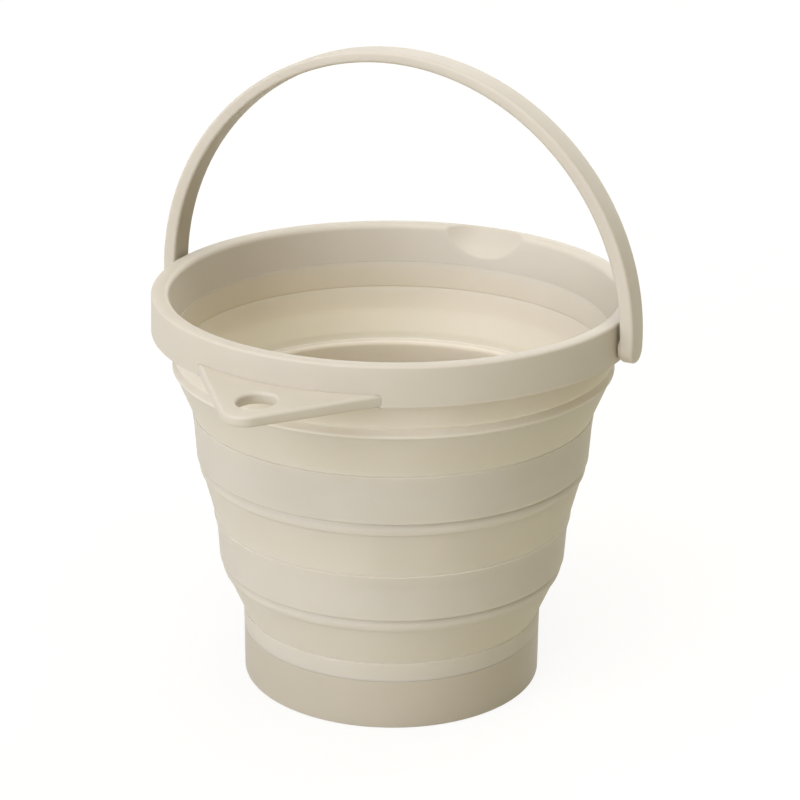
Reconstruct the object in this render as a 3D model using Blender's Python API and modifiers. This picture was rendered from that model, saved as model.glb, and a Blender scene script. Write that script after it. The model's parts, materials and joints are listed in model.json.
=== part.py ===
"""Collapsible camp bucket: a rim frame with a hanging tab and a pouring spout, a soft wall that
folds down in three steps, a base cup and a carrying handle.

Metres, +Z up. The origin is the centre of the underside. The handle turns about a line along X,
the hanging tab points to -Y and the spout is at +Y. The bucket stands open with its handle up.
"""

import math

import bmesh
import bpy
from mathutils import Matrix, Vector

# Flats of the faceted surfaces
TURN_STEPS = 64
FILLET_STEPS = 3
CHAMFER_STEPS = 1
ARCH_STEPS = 40
HOLE_STEPS = 24
END_STEPS = 10
ROUND_STEPS = 2
BALL_STEPS = 24
SMOOTH_ANGLE = math.radians(40)
ROUND_ANGLE = math.radians(50)

# Clearances
SEAT_GAP = 0.0003
SLIP_GAP = 0.0004
PIN_GAP = 0.0004
CUT_OVERRUN = 0.002
MERGE_DISTANCE = 0.00001

# Base cup, from the ground up
BASE_HEIGHT = 0.0330
BASE_TOP_RADIUS = 0.0988
BASE_BOTTOM_RADIUS = 0.0987
BASE_WALL = 0.0030
BASE_FLOOR = 0.0040
BASE_EDGE_FILLET = 0.0012
BASE_INSIDE_FILLET = 0.0060
FOOT_RING_WIDTH = 0.0080
FOOT_GROOVE_WIDTH = 0.0100
FOOT_GROOVE_DEPTH = 0.0012

# Soft wall: bands of constant wall, each with a bead under it, and thinner cones between them
BAND_WALL = 0.0034
NECK_WALL = 0.0030
CONE_WALL = 0.0018
LIP_WALL = 0.0012
CONE_INSET = 0.0007
CONE_BULGE = 0.0006
GROOVE_DEPTH = 0.0010
GROOVE_HALF_WIDTH = 0.0006
BEAD_INSET = 0.0003
BAND_FILLET = 0.0009

FOOT_BAND_HEIGHT = 0.0125
FOOT_BAND_TOP_RADIUS = 0.0991

LOWER_CONE_HEIGHT = 0.0288
LOWER_BEAD_HEIGHT = 0.0083
LOWER_LIP_INSET = 0.0034
LOWER_BAND_HEIGHT = 0.0315
LOWER_BAND_BOTTOM_RADIUS = 0.1149
LOWER_BAND_TOP_RADIUS = 0.1163

MIDDLE_CONE_HEIGHT = 0.0314
MIDDLE_BEAD_HEIGHT = 0.0080
MIDDLE_LIP_INSET = 0.0020
UPPER_BAND_HEIGHT = 0.0320
UPPER_BAND_BOTTOM_RADIUS = 0.1281
UPPER_BAND_TOP_RADIUS = 0.1302

UPPER_CONE_HEIGHT = 0.0293
UPPER_BEAD_HEIGHT = 0.0065
UPPER_BEAD_OVERHANG = 0.0009
NECK_HEIGHT = 0.0183
NECK_SHOULDER = 0.0032
NECK_LEAN = 0.0004

# Rim frame: a channel that is open underneath
RIM_HEIGHT = 0.0250
RIM_RADIUS = 0.1550
RIM_SKIRT_FLARE = 0.0006
RIM_LAND_WIDTH = 0.0106
RIM_SLOPE_RUN = 0.0054
RIM_SKIRT_WALL = 0.0028
RIM_TOP_WALL = 0.0030
RIM_INSIDE_WALL = 0.0030
RIM_OUTER_FILLET = 0.0018
RIM_MOUTH_FILLET = 0.0045
RIM_BOTTOM_FILLET = 0.0008

# Spout: a dish pressed into the inside of the rim
SPOUT_RADIUS = 0.0443
SPOUT_DEPTH = 0.0184
SPOUT_LIP = 0.0012
SPOUT_WALL = 0.0028

# Hanging tab
TAB_LENGTH = 0.0530
TAB_HALF_WIDTH = 0.0630
TAB_TIP_RADIUS = 0.0150
TAB_THICKNESS = 0.0060
TAB_RAISE = 0.0006
TAB_FILLET = 0.0014
TAB_HOLE_WIDTH = 0.0225
TAB_HOLE_LENGTH = 0.0255
TAB_HOLE_TO_TIP = 0.0267

# Handle
HANDLE_GAP = 0.0028
HANDLE_ARCH_RISE = 0.1652
HANDLE_SPRING_RISE = 0.0040
HANDLE_WIDTH = 0.0190
HANDLE_LEG_THICKNESS = 0.0092
HANDLE_TOP_THICKNESS = 0.0072
HANDLE_FILLET = 0.0018
PIVOT_DROP = 0.0154
PAD_RADIUS = 0.0080
PAD_THICKNESS = 0.0010
PIN_RADIUS = 0.0040
PIN_HEAD_RADIUS = 0.0053
PIN_HEAD_LENGTH = 0.0024
PIN_HEAD_CHAMFER = 0.0008
PIN_HEAD_PLAY = 0.0004
PIN_SLOT_WIDTH = 0.0016
PIN_SLOT_DEPTH = 0.0038

# Heights of the seams, from the ground up
FOOT_BAND_TOP = BASE_HEIGHT + FOOT_BAND_HEIGHT
LOWER_LIP = FOOT_BAND_TOP + LOWER_CONE_HEIGHT
LOWER_GROOVE = LOWER_LIP + LOWER_BEAD_HEIGHT
LOWER_BAND_TOP = LOWER_GROOVE + LOWER_BAND_HEIGHT
MIDDLE_LIP = LOWER_BAND_TOP + MIDDLE_CONE_HEIGHT
MIDDLE_GROOVE = MIDDLE_LIP + MIDDLE_BEAD_HEIGHT
UPPER_BAND_TOP = MIDDLE_GROOVE + UPPER_BAND_HEIGHT
UPPER_LIP = UPPER_BAND_TOP + UPPER_CONE_HEIGHT
UPPER_GROOVE = UPPER_LIP + UPPER_BEAD_HEIGHT
RIM_BOTTOM = UPPER_GROOVE + NECK_HEIGHT
RIM_TOP = RIM_BOTTOM + RIM_HEIGHT
PIVOT_HEIGHT = RIM_TOP - PIVOT_DROP

# Radii and reaches that follow from the sizes above
RIM_MOUTH_RADIUS = RIM_RADIUS - RIM_LAND_WIDTH
RIM_THROAT_RADIUS = RIM_MOUTH_RADIUS - RIM_SLOPE_RUN
NECK_TOP_RADIUS = RIM_THROAT_RADIUS + NECK_SHOULDER
NECK_BOTTOM_RADIUS = NECK_TOP_RADIUS - NECK_LEAN
UPPER_LIP_RADIUS = NECK_BOTTOM_RADIUS + UPPER_BEAD_OVERHANG
MIDDLE_LIP_RADIUS = UPPER_BAND_BOTTOM_RADIUS - MIDDLE_LIP_INSET
LOWER_LIP_RADIUS = LOWER_BAND_BOTTOM_RADIUS - LOWER_LIP_INSET
TAB_REACH = RIM_RADIUS + TAB_LENGTH
TAB_HOLE_REACH = TAB_REACH - TAB_HOLE_TO_TIP
HANDLE_HALF_SPAN = RIM_RADIUS + HANDLE_GAP + HANDLE_LEG_THICKNESS

# Colours: one greige plastic, a little duller on the soft wall
HARD_COLOUR = (0.68, 0.61, 0.50, 1.0)
SOFT_COLOUR = (0.66, 0.59, 0.48, 1.0)
FOLD_COLOUR = (0.62, 0.55, 0.44, 1.0)
HARD_ROUGHNESS = 0.42
SOFT_ROUGHNESS = 0.60


def clear_scene():
    for thing in list(bpy.data.objects):
        bpy.data.objects.remove(thing, do_unlink=True)


def new_collection(name):
    collection = bpy.data.collections.new(name)
    bpy.context.scene.collection.children.link(collection)
    return collection


def plastic(name, colour, roughness):
    material = bpy.data.materials.new(name)
    material.use_nodes = True
    shader = material.node_tree.nodes["Principled BSDF"]
    shader.inputs["Base Color"].default_value = colour
    shader.inputs["Roughness"].default_value = roughness
    shader.inputs["Metallic"].default_value = 0
    return material


def add_piece(name, data, collection, material=None):
    piece = bpy.data.objects.new(name, data)
    collection.objects.link(piece)
    if material:
        data.materials.append(material)
    return piece


def as_guide(thing):
    """Mark a shape that cuts, joins or limits a piece and isn't one of the bucket's pieces."""
    thing.hide_render = True
    thing.display_type = "WIRE"
    return thing


def add_cutter(name, mesh, collection):
    return as_guide(add_piece(name, mesh, collection))


def boolean(piece, other, operation):
    modifier = piece.modifiers.new(operation.lower(), "BOOLEAN")
    modifier.operation = operation
    modifier.solver = "EXACT"
    modifier.object = other
    return modifier


def solid_mesh(thing):
    """The evaluated shape of an object as one welded mesh, in world space."""
    graph = bpy.context.evaluated_depsgraph_get()
    mesh = bpy.data.meshes.new_from_object(thing.evaluated_get(graph))
    mesh.transform(thing.matrix_world)
    shape = bmesh.new()
    shape.from_mesh(mesh)
    bmesh.ops.remove_doubles(shape, verts=shape.verts, dist=MERGE_DISTANCE)
    shape.to_mesh(mesh)
    shape.free()
    return mesh


def smooth(mesh):
    mesh.shade_smooth()
    mesh.set_sharp_from_angle(angle=SMOOTH_ANGLE)


def fillet_arc(corner, before, after, radius, steps):
    """Points of the arc that rounds one corner of an outline, no larger than its sides allow."""
    corner, before, after = Vector(corner), Vector(before), Vector(after)
    back, ahead = before - corner, after - corner
    half_angle = back.angle(ahead) / 2
    reach = min(radius / math.tan(half_angle), min(back.length, ahead.length) / 2)
    radius = reach * math.tan(half_angle)
    middle = (back.normalized() + ahead.normalized()).normalized()
    centre = corner + middle * (radius / math.sin(half_angle))
    start = corner + back.normalized() * reach - centre
    turn = start.angle_signed(corner + ahead.normalized() * reach - centre)
    points = []
    for step in range(steps + 1):
        angle = -turn * step / steps
        points.append(centre + Matrix.Rotation(angle, 2) @ start)
    return points


def outline(corners, closed=True):
    """Points of an outline from corners (x, y) or, for a rounded one, (x, y, radius, steps)."""
    points = []
    count = len(corners)
    for index, corner in enumerate(corners):
        if len(corner) == 2 or (not closed and index in (0, count - 1)):
            points.append(Vector(corner[:2]))
            continue
        x, y, radius, steps = corner
        before = corners[index - 1][:2]
        after = corners[(index + 1) % count][:2]
        points += fillet_arc((x, y), before, after, radius, steps)
    return points


def turned_mesh_object(name, corners, collection, material=None, closed=True):
    """Turn (radius, height) corners about Z. They run down the outer side first."""
    points = outline(corners, closed)
    edges = [(index, index + 1) for index in range(len(points) - 1)]
    if closed:
        edges.append((len(points) - 1, 0))
    mesh = bpy.data.meshes.new(name)
    mesh.from_pydata([(point.x, 0, point.y) for point in points], edges, [])
    piece = add_piece(name, mesh, collection, material)
    screw = piece.modifiers.new("turn", "SCREW")
    screw.steps = TURN_STEPS
    screw.render_steps = TURN_STEPS
    screw.use_merge_vertices = True
    screw.merge_threshold = MERGE_DISTANCE
    screw.use_smooth_shade = True
    return piece


def flat_outline_object(name, loops, thickness, collection):
    """A flat plate in its own XY plane from closed loops of points: the outline, then its holes."""
    curve = bpy.data.curves.new(name, "CURVE")
    curve.dimensions = "2D"
    curve.fill_mode = "BOTH"
    curve.extrude = thickness / 2
    for points in loops:
        spline = curve.splines.new("POLY")
        spline.points.add(len(points) - 1)
        for place, point in zip(spline.points, points):
            place.co = (point.x, point.y, 0, 1)
        spline.use_cyclic_u = True
    return add_piece(name, curve, collection)


def plate(name, loops, thickness, matrix, collection, material=None):
    """The plate of flat_outline_object as a mesh piece, placed by matrix."""
    drawn = flat_outline_object(name + "_outline", loops, thickness, collection)
    drawn.matrix_world = matrix
    bpy.context.view_layer.update()
    mesh = solid_mesh(drawn)
    bpy.data.objects.remove(drawn, do_unlink=True)
    mesh.name = name
    return add_piece(name, mesh, collection, material)


def cylinder_mesh(name, radius, length, steps):
    mesh = bpy.data.meshes.new(name)
    shape = bmesh.new()
    bmesh.ops.create_cone(
        shape, cap_ends=True, segments=steps, radius1=radius, radius2=radius, depth=length
    )
    shape.to_mesh(mesh)
    shape.free()
    return mesh


def base_cup(parts, material):
    """Cup with a flat underside that has a shallow groove inside its foot ring."""
    groove_outside = BASE_BOTTOM_RADIUS - FOOT_RING_WIDTH
    groove_inside = groove_outside - FOOT_GROOVE_WIDTH
    corners = [
        (BASE_TOP_RADIUS, BASE_HEIGHT),
        (BASE_BOTTOM_RADIUS, 0, BASE_EDGE_FILLET, FILLET_STEPS),
        (groove_outside, 0),
        (groove_outside - FOOT_GROOVE_DEPTH, FOOT_GROOVE_DEPTH),
        (groove_inside + FOOT_GROOVE_DEPTH, FOOT_GROOVE_DEPTH),
        (groove_inside, 0),
        (0, 0),
        (0, BASE_FLOOR),
        (BASE_BOTTOM_RADIUS - BASE_WALL, BASE_FLOOR, BASE_INSIDE_FILLET, FILLET_STEPS),
        (BASE_TOP_RADIUS - BASE_WALL, BASE_HEIGHT),
    ]
    return turned_mesh_object("base_cup", corners, parts, material)


def foot_band(parts, material):
    """Soft band that is bonded to the top of the base cup."""
    bottom = BASE_HEIGHT + SEAT_GAP
    corners = [
        (FOOT_BAND_TOP_RADIUS, FOOT_BAND_TOP, BAND_FILLET, CHAMFER_STEPS),
        (BASE_TOP_RADIUS, bottom),
        (BASE_TOP_RADIUS - BASE_WALL, bottom),
        (FOOT_BAND_TOP_RADIUS - BAND_WALL, FOOT_BAND_TOP, BAND_FILLET, CHAMFER_STEPS),
    ]
    return turned_mesh_object("wall_foot_band", corners, parts, material)


def fold_cone(name, band_top, band_top_radius, lip, lip_inside, parts, material):
    """Fold of the wall: stands on the band below it and reaches up inside the bead's lip."""
    bottom = band_top + SEAT_GAP
    top = lip - SEAT_GAP
    bottom_radius = band_top_radius - CONE_INSET
    top_radius = lip_inside - SLIP_GAP
    middle = (bottom + top) / 2
    middle_radius = (bottom_radius + top_radius) / 2 + CONE_BULGE
    corners = [
        (top_radius, top),
        (middle_radius, middle),
        (bottom_radius, bottom),
        (bottom_radius - CONE_WALL, bottom),
        (middle_radius - CONE_WALL, middle),
        (top_radius - CONE_WALL, top),
    ]
    return turned_mesh_object(name, corners, parts, material)


def bead_outside(groove, groove_radius, lip, lip_radius):
    """Corners of a band's groove and the bead under it, down the outer side."""
    return [
        (groove_radius, groove + GROOVE_HALF_WIDTH),
        (groove_radius - GROOVE_DEPTH, groove),
        (groove_radius - BEAD_INSET, groove - GROOVE_HALF_WIDTH, BAND_FILLET, CHAMFER_STEPS),
        (lip_radius, lip, BAND_FILLET, CHAMFER_STEPS),
    ]


def wall_band(name, top, top_radius, groove, groove_radius, lip, lip_radius, parts, material):
    """Stiff band of the wall with a bead and a lip under it, which the next cone slides inside."""
    lip_inside = lip_radius - LIP_WALL
    corners = [
        (top_radius, top, BAND_FILLET, CHAMFER_STEPS),
        *bead_outside(groove, groove_radius, lip, lip_radius),
        (lip_inside, lip),
        (max(lip_inside, groove_radius - BAND_WALL), groove),
        (top_radius - BAND_WALL, top, BAND_FILLET, CHAMFER_STEPS),
    ]
    return turned_mesh_object(name, corners, parts, material)


def wall_collar(parts, material):
    """Neck of the wall under the rim frame, with the first bead under it, straight inside."""
    top = RIM_BOTTOM - SEAT_GAP
    corners = [
        (NECK_TOP_RADIUS, top),
        *bead_outside(UPPER_GROOVE, NECK_BOTTOM_RADIUS, UPPER_LIP, UPPER_LIP_RADIUS),
        (NECK_BOTTOM_RADIUS - NECK_WALL, UPPER_LIP),
        (NECK_TOP_RADIUS - NECK_WALL, top),
    ]
    return turned_mesh_object("wall_collar", corners, parts, material)


def skirt_bottom_radius():
    return RIM_RADIUS + RIM_SKIRT_FLARE


def skirt_inside_radius():
    return RIM_RADIUS - RIM_SKIRT_WALL


def rim_inside_radius(height):
    """Radius of the sloping inner face of the rim at a height."""
    share = (height - RIM_BOTTOM) / RIM_HEIGHT
    return RIM_THROAT_RADIUS + (RIM_MOUTH_RADIUS - RIM_THROAT_RADIUS) * share


def rim_body(parts, material):
    """The channel of the rim: skirt, top and sloping inner wall."""
    channel_top = RIM_TOP - RIM_TOP_WALL
    corners = [
        (RIM_RADIUS, RIM_TOP, RIM_OUTER_FILLET, FILLET_STEPS),
        (skirt_bottom_radius(), RIM_BOTTOM, RIM_BOTTOM_FILLET, CHAMFER_STEPS),
        (skirt_inside_radius(), RIM_BOTTOM),
        (skirt_inside_radius(), channel_top),
        (rim_inside_radius(channel_top) + RIM_INSIDE_WALL, channel_top),
        (RIM_THROAT_RADIUS + RIM_INSIDE_WALL, RIM_BOTTOM),
        (RIM_THROAT_RADIUS, RIM_BOTTOM, RIM_BOTTOM_FILLET, CHAMFER_STEPS),
        (RIM_MOUTH_RADIUS, RIM_TOP, RIM_MOUTH_FILLET, FILLET_STEPS),
    ]
    return turned_mesh_object("rim_frame", corners, parts, material)


def spout_centre():
    """Centre of the dish: its ball passes its lowest point inside and its lip at the rim's edge."""
    low_height = RIM_TOP - SPOUT_DEPTH
    low = Vector((rim_inside_radius(low_height), low_height))
    lip = Vector((RIM_RADIUS - SPOUT_LIP, RIM_TOP))
    chord = lip - low
    away = Vector((-chord.y, chord.x)).normalized()
    rise = math.sqrt(SPOUT_RADIUS**2 - (chord.length / 2) ** 2)
    centre = (low + lip) / 2 + away * rise
    return Vector((0, centre.x, centre.y))


def ball_mesh(name, radius, segments):
    mesh = bpy.data.meshes.new(name)
    shape = bmesh.new()
    bmesh.ops.create_uvsphere(shape, u_segments=segments, v_segments=segments // 2, radius=radius)
    shape.to_mesh(mesh)
    shape.free()
    return mesh


def spout_backing(cutters, material):
    """Wall behind the dish, where it would break through into the channel of the rim."""
    half_inside = RIM_INSIDE_WALL / 2
    outer = RIM_RADIUS - RIM_SKIRT_WALL / 2
    top = RIM_TOP - RIM_TOP_WALL / 2
    bottom = RIM_BOTTOM + RIM_BOTTOM_FILLET
    corners = [
        (outer, top),
        (outer, bottom),
        (rim_inside_radius(bottom) + half_inside, bottom),
        (rim_inside_radius(top) + half_inside, top),
    ]
    backing = as_guide(turned_mesh_object("spout_backing", corners, cutters, material))
    ball = add_cutter(
        "spout_outside", ball_mesh("spout_outside", SPOUT_RADIUS + SPOUT_WALL, BALL_STEPS), cutters
    )
    ball.location = spout_centre()
    boolean(backing, ball, "INTERSECT")
    return backing


def tab_loops():
    """Outline of the tab and its hole, in metres from the bucket's axis, with +Y to the tip."""
    root = RIM_RADIUS - RIM_SKIRT_WALL / 2
    tip = Vector((0, TAB_REACH - TAB_TIP_RADIUS))
    corner_angle = math.asin(TAB_HALF_WIDTH / root)
    corner = Vector((TAB_HALF_WIDTH, root * math.cos(corner_angle)))
    to_tip = tip - corner
    lean = math.asin(TAB_TIP_RADIUS / to_tip.length)
    edge_angle = math.atan2(to_tip.y, -to_tip.x) + lean
    points = []
    for step in range(END_STEPS + 1):
        angle = math.pi / 2 - corner_angle * (1 - 2 * step / END_STEPS)
        points.append(Vector((root * math.cos(angle), root * math.sin(angle))))
    for step in range(END_STEPS + 1):
        angle = math.pi - (math.pi / 2 - edge_angle) - 2 * edge_angle * step / END_STEPS
        away = Vector((math.cos(angle), math.sin(angle)))
        points.append(tip + away * TAB_TIP_RADIUS)
    hole = []
    for step in range(HOLE_STEPS):
        angle = 2 * math.pi * step / HOLE_STEPS
        across = math.cos(angle) * TAB_HOLE_WIDTH / 2
        along = math.sin(angle) * TAB_HOLE_LENGTH / 2
        hole.append(Vector((across, TAB_HOLE_REACH + along)))
    return points, hole


def round_weighted_edges(piece, width):
    bevel = piece.modifiers.new("round", "BEVEL")
    bevel.limit_method = "WEIGHT"
    bevel.width = width
    bevel.segments = ROUND_STEPS


def weigh_tab_edges(mesh, underside, top):
    """Mark the edges of the tab's two faces that stand clear of the rim, for rounding."""
    shape = bmesh.new()
    shape.from_mesh(mesh)
    weight = shape.edges.layers.float.new("bevel_weight_edge")
    for edge in shape.edges:
        middle = (edge.verts[0].co + edge.verts[1].co) / 2
        level = abs(edge.verts[0].co.z - edge.verts[1].co.z) < MERGE_DISTANCE
        on_face = min(abs(middle.z - underside), abs(middle.z - top)) < MERGE_DISTANCE
        outside = middle.xy.length > RIM_RADIUS
        folded = edge.calc_face_angle(0) > ROUND_ANGLE
        if level and on_face and outside and folded:
            edge[weight] = 1
    shape.to_mesh(mesh)
    shape.free()


def hanging_tab(cutters, material):
    """Flat triangular tab at the foot of the skirt, with a hole near its rounded tip."""
    underside = RIM_BOTTOM + TAB_RAISE
    middle = underside + TAB_THICKNESS / 2
    matrix = Matrix.Translation((0, 0, middle)) @ Matrix.Rotation(math.pi, 4, "Z")
    tab = as_guide(plate("tab", tab_loops(), TAB_THICKNESS, matrix, cutters, material))
    weigh_tab_edges(tab.data, underside, underside + TAB_THICKNESS)
    round_weighted_edges(tab, TAB_FILLET)
    return tab


def pin_holes(cutters):
    """Cutters for the two holes of the handle's pins through the skirt."""
    holes = []
    middle = RIM_RADIUS - RIM_SKIRT_WALL / 2
    length = RIM_SKIRT_WALL + 2 * CUT_OVERRUN
    for name, side in (("pin_hole_right", 1), ("pin_hole_left", -1)):
        mesh = cylinder_mesh(name, PIN_RADIUS + PIN_GAP, length, HOLE_STEPS)
        hole = add_cutter(name, mesh, cutters)
        hole.rotation_euler = (0, math.pi / 2, 0)
        hole.location = (side * middle, 0, PIVOT_HEIGHT)
        holes.append(hole)
    return holes


def rim_frame(parts, cutters, material):
    rim = rim_body(parts, material)
    boolean(rim, hanging_tab(cutters, material), "UNION")
    boolean(rim, spout_backing(cutters, material), "UNION")
    dish = add_cutter("spout_dish", ball_mesh("spout_dish", SPOUT_RADIUS, TURN_STEPS), cutters)
    dish.location = spout_centre()
    boolean(rim, dish, "DIFFERENCE")
    for hole in pin_holes(cutters):
        boolean(rim, hole, "DIFFERENCE")
    return rim


def handle_outline():
    """Outline of the strap seen from the front: outer arch one way, inner arch back."""
    spring = PIVOT_HEIGHT + HANDLE_SPRING_RISE
    foot = PIVOT_HEIGHT - HANDLE_WIDTH / 2
    inner_span = HANDLE_HALF_SPAN - HANDLE_LEG_THICKNESS
    inner_rise = HANDLE_ARCH_RISE - HANDLE_TOP_THICKNESS
    points = [Vector((HANDLE_HALF_SPAN, foot))]
    for step in range(ARCH_STEPS + 1):
        angle = math.pi * step / ARCH_STEPS
        points.append(
            Vector((HANDLE_HALF_SPAN * math.cos(angle), spring + HANDLE_ARCH_RISE * math.sin(angle)))
        )
    points.append(Vector((-HANDLE_HALF_SPAN, foot)))
    points.append(Vector((-inner_span, foot)))
    for step in range(ARCH_STEPS + 1):
        angle = math.pi * (1 - step / ARCH_STEPS)
        points.append(Vector((inner_span * math.cos(angle), spring + inner_rise * math.sin(angle))))
    points.append(Vector((inner_span, foot)))
    return points


def strap_side_outline():
    """Side view of the strap: its width with round lower ends about the pivot."""
    half = HANDLE_WIDTH / 2
    top = PIVOT_HEIGHT + HANDLE_SPRING_RISE + HANDLE_ARCH_RISE + CUT_OVERRUN
    points = [Vector((half, top)), Vector((-half, top))]
    for step in range(END_STEPS + 1):
        angle = math.pi * (1 + step / END_STEPS)
        points.append(Vector((half * math.cos(angle), PIVOT_HEIGHT + half * math.sin(angle))))
    return points


def pin_stud(cutters, material):
    """Pad, shaft and snap head inside the right leg, turned about the pivot line."""
    leg_inside = HANDLE_HALF_SPAN - HANDLE_LEG_THICKNESS
    root = HANDLE_HALF_SPAN - HANDLE_LEG_THICKNESS / 2
    pad_end = leg_inside - PAD_THICKNESS
    head_start = skirt_inside_radius() - PIN_HEAD_PLAY
    head_end = head_start - PIN_HEAD_LENGTH
    corners = [
        (0, root),
        (PAD_RADIUS, root),
        (PAD_RADIUS, pad_end),
        (PIN_RADIUS, pad_end),
        (PIN_RADIUS, head_start),
        (PIN_HEAD_RADIUS, head_start, PIN_HEAD_CHAMFER / 2, CHAMFER_STEPS),
        (PIN_HEAD_RADIUS, head_end, PIN_HEAD_CHAMFER, CHAMFER_STEPS),
        (0, head_end),
    ]
    stud = as_guide(turned_mesh_object("pin_stud", corners, cutters, material, closed=False))
    stud.modifiers["turn"].steps = HOLE_STEPS
    stud.modifiers["turn"].render_steps = HOLE_STEPS
    slot = bpy.data.meshes.new("pin_slot")
    shape = bmesh.new()
    bmesh.ops.create_cube(shape, size=1)
    size = (2 * (PIN_HEAD_RADIUS + CUT_OVERRUN), PIN_SLOT_WIDTH, 2 * PIN_SLOT_DEPTH)
    bmesh.ops.scale(shape, vec=size, verts=shape.verts)
    bmesh.ops.translate(shape, vec=(0, 0, head_end), verts=shape.verts)
    shape.to_mesh(slot)
    shape.free()
    cutter = add_cutter("pin_slot", slot, cutters)
    boolean(stud, cutter, "DIFFERENCE")
    for thing in (stud, cutter):
        thing.rotation_euler = (0, math.pi / 2, 0)
        thing.location = (0, 0, PIVOT_HEIGHT)
    return stud


def handle(parts, cutters, material):
    """Arched strap with a snap pin inside each leg, on an empty at the pivot line."""
    upright = Matrix.Rotation(math.pi / 2, 4, "X")
    strap = plate("strap", [handle_outline()], 2 * HANDLE_WIDTH, upright, cutters)
    across = Matrix.Rotation(math.pi / 2, 4, "Z") @ Matrix.Rotation(math.pi / 2, 4, "X")
    width = 2 * (HANDLE_HALF_SPAN + CUT_OVERRUN)
    side = as_guide(plate("strap_side", [strap_side_outline()], width, across, cutters))
    boolean(strap, side, "INTERSECT")
    bevel = strap.modifiers.new("round", "BEVEL")
    bevel.limit_method = "ANGLE"
    bevel.angle_limit = ROUND_ANGLE
    bevel.width = HANDLE_FILLET
    bevel.segments = ROUND_STEPS
    boolean(strap, pin_stud(cutters, material), "UNION")
    mirror = strap.modifiers.new("both sides", "MIRROR")
    mirror.use_bisect_axis = (True, False, False)
    mirror.merge_threshold = MERGE_DISTANCE
    bpy.context.view_layer.update()
    mesh = solid_mesh(strap)
    bpy.data.objects.remove(strap, do_unlink=True)
    smooth(mesh)
    pivot = bpy.data.objects.new("handle_pivot", None)
    parts.objects.link(pivot)
    pivot.location = (0, 0, PIVOT_HEIGHT)
    mesh.transform(Matrix.Translation((0, 0, -PIVOT_HEIGHT)))
    piece = add_piece("handle", mesh, parts, material)
    piece.parent = pivot
    return piece


def build():
    clear_scene()
    parts = new_collection("collapsible_bucket")
    cutters = new_collection("cutters")
    hard = plastic("hard_plastic", HARD_COLOUR, HARD_ROUGHNESS)
    soft = plastic("soft_wall", SOFT_COLOUR, SOFT_ROUGHNESS)
    fold = plastic("soft_fold", FOLD_COLOUR, SOFT_ROUGHNESS)

    base_cup(parts, hard)
    foot_band(parts, soft)
    fold_cone(
        "fold_lower",
        FOOT_BAND_TOP, FOOT_BAND_TOP_RADIUS,
        LOWER_LIP, LOWER_LIP_RADIUS - LIP_WALL,
        parts, fold,
    )
    wall_band(
        "wall_band_lower",
        LOWER_BAND_TOP, LOWER_BAND_TOP_RADIUS,
        LOWER_GROOVE, LOWER_BAND_BOTTOM_RADIUS,
        LOWER_LIP, LOWER_LIP_RADIUS,
        parts, soft,
    )
    fold_cone(
        "fold_middle",
        LOWER_BAND_TOP, LOWER_BAND_TOP_RADIUS,
        MIDDLE_LIP, MIDDLE_LIP_RADIUS - LIP_WALL,
        parts, fold,
    )
    wall_band(
        "wall_band_upper",
        UPPER_BAND_TOP, UPPER_BAND_TOP_RADIUS,
        MIDDLE_GROOVE, UPPER_BAND_BOTTOM_RADIUS,
        MIDDLE_LIP, MIDDLE_LIP_RADIUS,
        parts, soft,
    )
    fold_cone(
        "fold_upper",
        UPPER_BAND_TOP, UPPER_BAND_TOP_RADIUS,
        UPPER_LIP, NECK_BOTTOM_RADIUS - NECK_WALL,
        parts, fold,
    )
    wall_collar(parts, soft)
    rim_frame(parts, cutters, hard)
    handle(parts, cutters, hard)


build()
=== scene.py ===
"""Looks of the collapsible camp bucket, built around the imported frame.

Metres, +Z up, in the frame's own coordinates: the handle turns about a line along X, the hanging tab
points to -Y and the spout is at +Y. The heights and radii of the pieces are read from the frame, and the
values below are the details of their surfaces.
"""

import json
import math

import bmesh
import bpy
import numpy as np
from mathutils import Matrix, Quaternion, Vector


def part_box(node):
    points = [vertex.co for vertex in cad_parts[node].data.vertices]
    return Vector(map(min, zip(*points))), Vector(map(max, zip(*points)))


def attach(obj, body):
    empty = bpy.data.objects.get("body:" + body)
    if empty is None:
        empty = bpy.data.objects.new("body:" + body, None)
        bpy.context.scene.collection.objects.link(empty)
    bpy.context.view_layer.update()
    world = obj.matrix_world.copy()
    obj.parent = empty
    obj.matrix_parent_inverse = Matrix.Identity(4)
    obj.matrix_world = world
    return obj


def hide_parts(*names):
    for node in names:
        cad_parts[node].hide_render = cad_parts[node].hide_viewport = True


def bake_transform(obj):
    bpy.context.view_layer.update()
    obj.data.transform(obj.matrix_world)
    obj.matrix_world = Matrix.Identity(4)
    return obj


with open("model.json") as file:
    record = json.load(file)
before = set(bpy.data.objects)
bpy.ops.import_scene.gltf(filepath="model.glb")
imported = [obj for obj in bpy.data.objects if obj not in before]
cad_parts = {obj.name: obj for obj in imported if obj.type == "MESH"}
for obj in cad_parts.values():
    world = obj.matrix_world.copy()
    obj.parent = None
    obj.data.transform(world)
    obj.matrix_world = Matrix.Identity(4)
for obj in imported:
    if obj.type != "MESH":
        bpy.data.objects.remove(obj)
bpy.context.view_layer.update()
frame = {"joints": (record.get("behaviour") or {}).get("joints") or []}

# Flats of the fine surfaces. One fillet takes at most FILLET_SHARE of the sides beside it.
TURN_STEPS = 192
SPOUT_HALF_ANGLE = math.radians(17)
SPOUT_STEP = math.radians(0.22)
ARC_STEP = math.radians(14)
FILLET_SHARE = 0.49
LEAST_ARC_STEPS = 2
WEB_STEP = 0.0012
FLAT_STEP = 0.0080
RIM_FACE_STEP = 0.0005
RIM_BACK_STEP = 0.0020
ARCH_STEPS = 144
END_STEPS = 36
HOLE_STEPS = 64
MERGE_DISTANCE = 0.000002
SMOOTH_ANGLE = math.radians(38)
INSIDE_SHARPNESS = 0.5

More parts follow.
